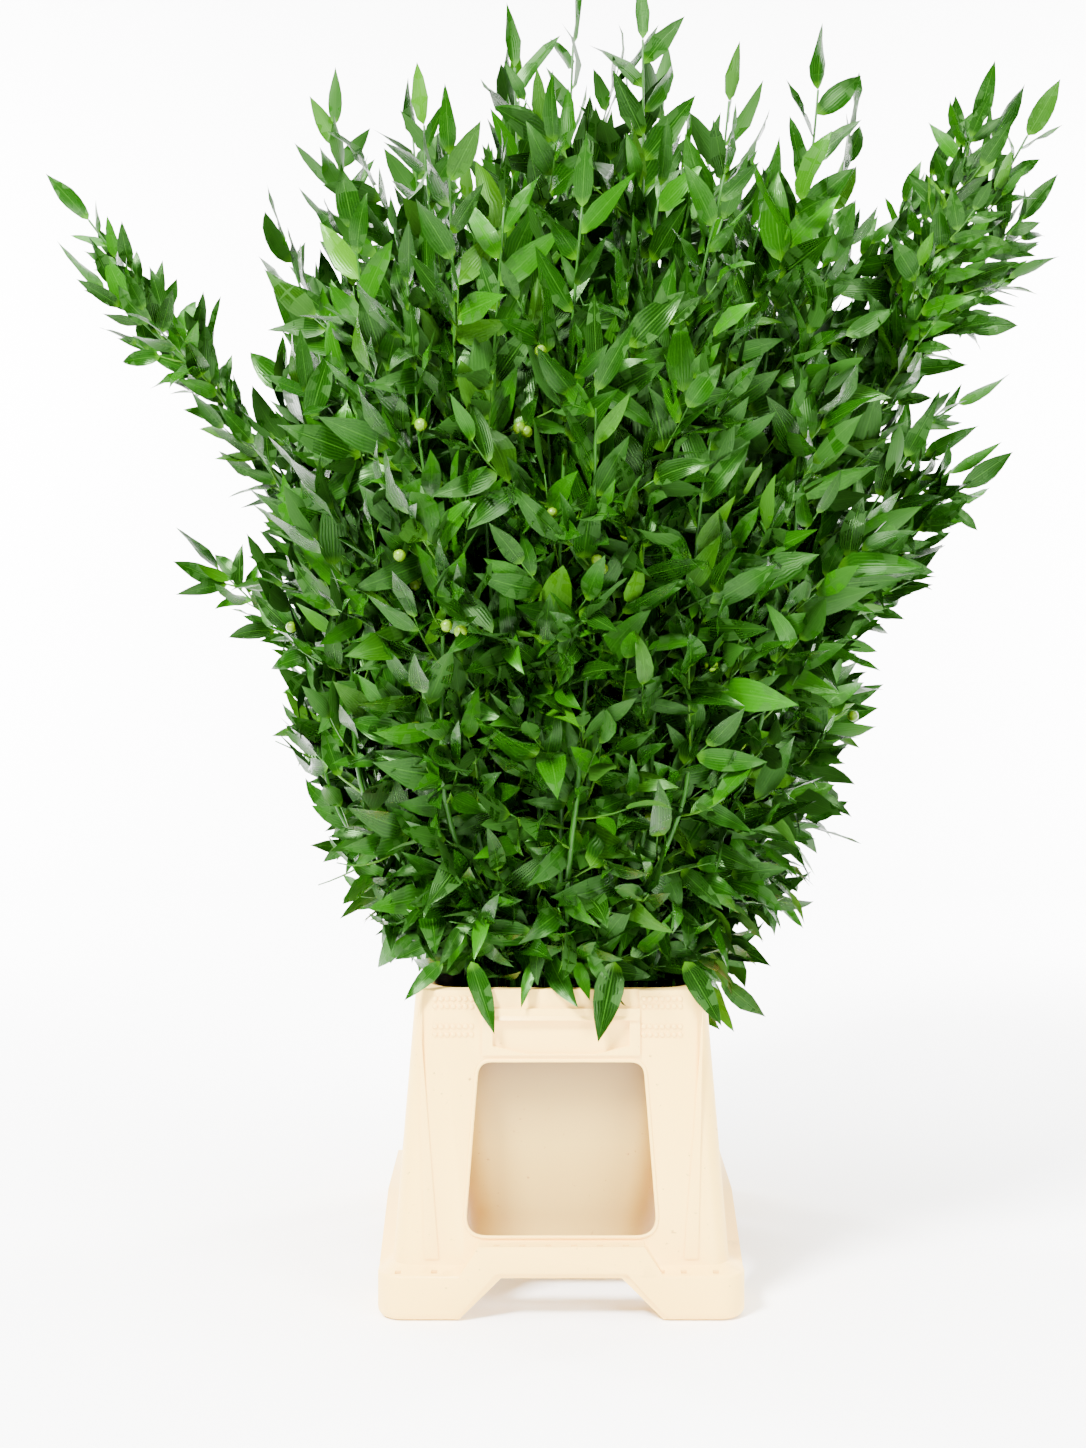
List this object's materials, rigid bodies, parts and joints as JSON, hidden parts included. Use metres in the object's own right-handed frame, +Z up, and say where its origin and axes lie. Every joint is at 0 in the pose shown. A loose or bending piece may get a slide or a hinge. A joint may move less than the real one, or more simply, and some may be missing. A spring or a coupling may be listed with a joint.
{
  "type": "bunch of long ruscus stems in a flower bucket",
  "caption": "Dense upright bunch of long leafy ruscus stems standing in water in a one-piece moulded flower bucket with windows, feet and carrying slots.",
  "frame": {"origin": "on the floor, under the middle of the whole object, which is also the middle of the bucket", "axes": "+Z up along the stems; the narrow front of the bucket faces -Y; +X to the right seen from the front"},
  "size_m": [0.8795, 0.6117, 1.085],
  "materials": {
    "bucket_plastic": "satin",
    "leaf": "waxy",
    "stem": "satin",
    "berry": "waxy",
    "water": "clear"
  },
  "bodies": {
    "root": {"bucket_shell": "bucket_plastic", "bucket_tub": "bucket_plastic", "water": "water", "cane_outer_01": "stem", "cane_outer_02": "stem", "cane_outer_03": "stem", "cane_outer_04": "stem", "cane_outer_05": "stem", "cane_outer_06": "stem", "cane_outer_07": "stem", "cane_outer_08": "stem", "cane_outer_09": "stem", "cane_outer_10": "stem", "cane_outer_11": "stem", "cane_outer_12": "stem", "cane_outer_13": "stem", "cane_outer_14": "stem", "cane_inner_01": "stem", "cane_inner_02": "stem", "cane_inner_03": "stem", "cane_inner_04": "stem", "cane_inner_05": "stem", "cane_inner_06": "stem", "cane_inner_07": "stem", "cane_middle_01": "stem", "stem_outer_01": "leaf", "stem_outer_02": "leaf", "stem_outer_03": "leaf", "stem_outer_04": "leaf", "stem_outer_05": "leaf", "stem_outer_06": "leaf", "stem_outer_07": "leaf", "stem_outer_08": "leaf", "stem_outer_09": "leaf", "stem_outer_10": "leaf", "stem_outer_11": "leaf", "stem_outer_12": "leaf", "stem_outer_13": "leaf", "stem_outer_14": "leaf", "stem_inner_01": "leaf", "stem_inner_02": "leaf", "stem_inner_03": "leaf", "stem_inner_04": "leaf", "stem_inner_05": "leaf", "stem_inner_06": "leaf", "stem_inner_07": "leaf", "stem_middle_01": "leaf"}
  },
  "joints": []
}
